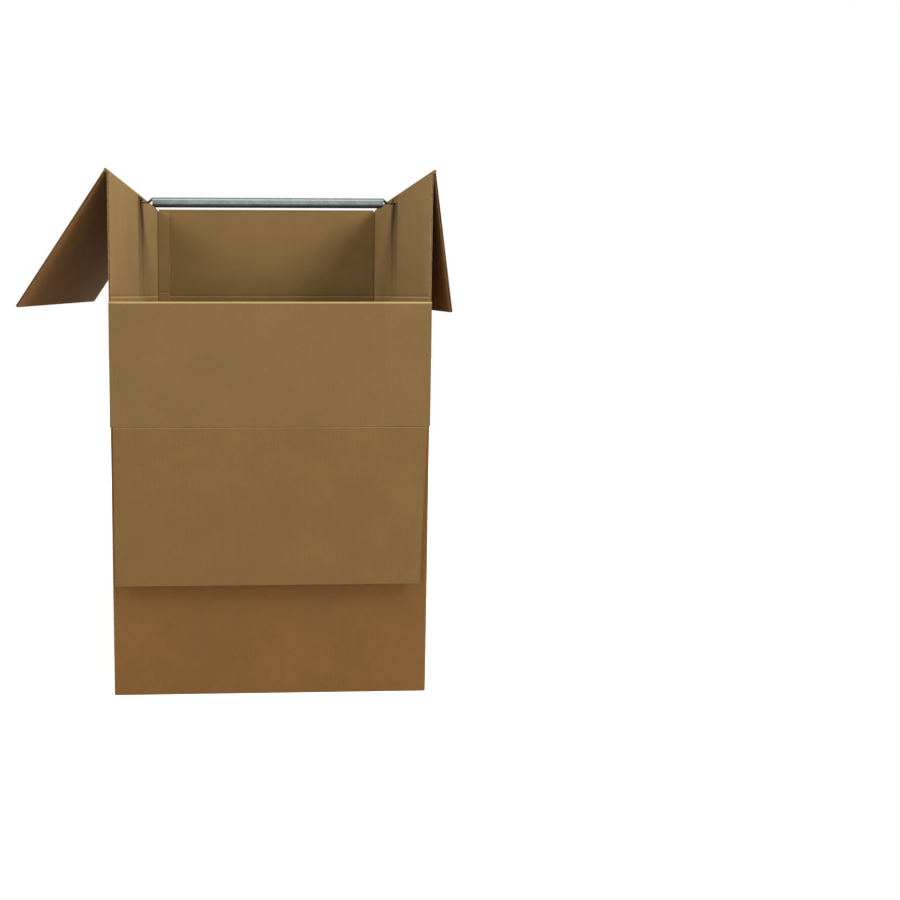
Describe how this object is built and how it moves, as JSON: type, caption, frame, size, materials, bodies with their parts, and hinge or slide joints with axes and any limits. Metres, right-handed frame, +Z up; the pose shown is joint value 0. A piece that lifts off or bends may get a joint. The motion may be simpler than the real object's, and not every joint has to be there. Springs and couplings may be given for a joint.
{
  "type": "wardrobe moving box",
  "caption": "Tall square corrugated moving carton with a drop-down front door, open top flaps and a steel hanger bar across the top.",
  "frame": {"origin": "middle of the carton's underside, on the tape that closes the bottom seam", "axes": "+Z up, -Y towards the drop-down front, +X to the right of someone who faces the front"},
  "size_m": [0.8394, 0.6888, 1.0284],
  "materials": {
    "kraft_board": "matt kraft liner",
    "galvanised_steel": "dull galvanised",
    "tape": "clear-tan packing tape"
  },
  "bodies": {
    "carton": {"carton_body": "kraft_board", "bottom_tape": "tape", "hanger_bar": "galvanised_steel"},
    "left_flap": {"left_flap": "kraft_board"},
    "right_flap": {"right_flap": "kraft_board"},
    "back_flap": {"back_flap": "kraft_board"},
    "front_door": {"front_door": "kraft_board"},
    "front_flap": {"front_flap": "kraft_board"}
  },
  "joints": [
    {"name": "left_flap_fold", "type": "hinge", "parent": "carton", "child": "left_flap", "pos_m": [-0.3117, 0, 1.0252], "axis": [0, 1, 0], "range_deg": [-29, 236]},
    {"name": "right_flap_fold", "type": "hinge", "parent": "carton", "child": "right_flap", "pos_m": [0.3117, 0, 1.0252], "axis": [0, -1, 0], "range_deg": [-3, 261.8]},
    {"name": "back_flap_fold", "type": "hinge", "parent": "carton", "child": "back_flap", "pos_m": [0, 0.3117, 1.0209], "axis": [1, 0, 0], "range_deg": [-8, 261]},
    {"name": "front_door_fold", "type": "hinge", "parent": "carton", "child": "front_door", "pos_m": [0, -0.30915, 0.7779], "axis": [-1, 0, 0], "range_deg": [-1, 178.9]},
    {"name": "front_flap_fold", "type": "hinge", "parent": "front_door", "child": "front_flap", "pos_m": [0, -0.31596, 0.53499], "axis": [-1, 0, 0], "range_deg": [-0.5, 89.5]}
  ]
}
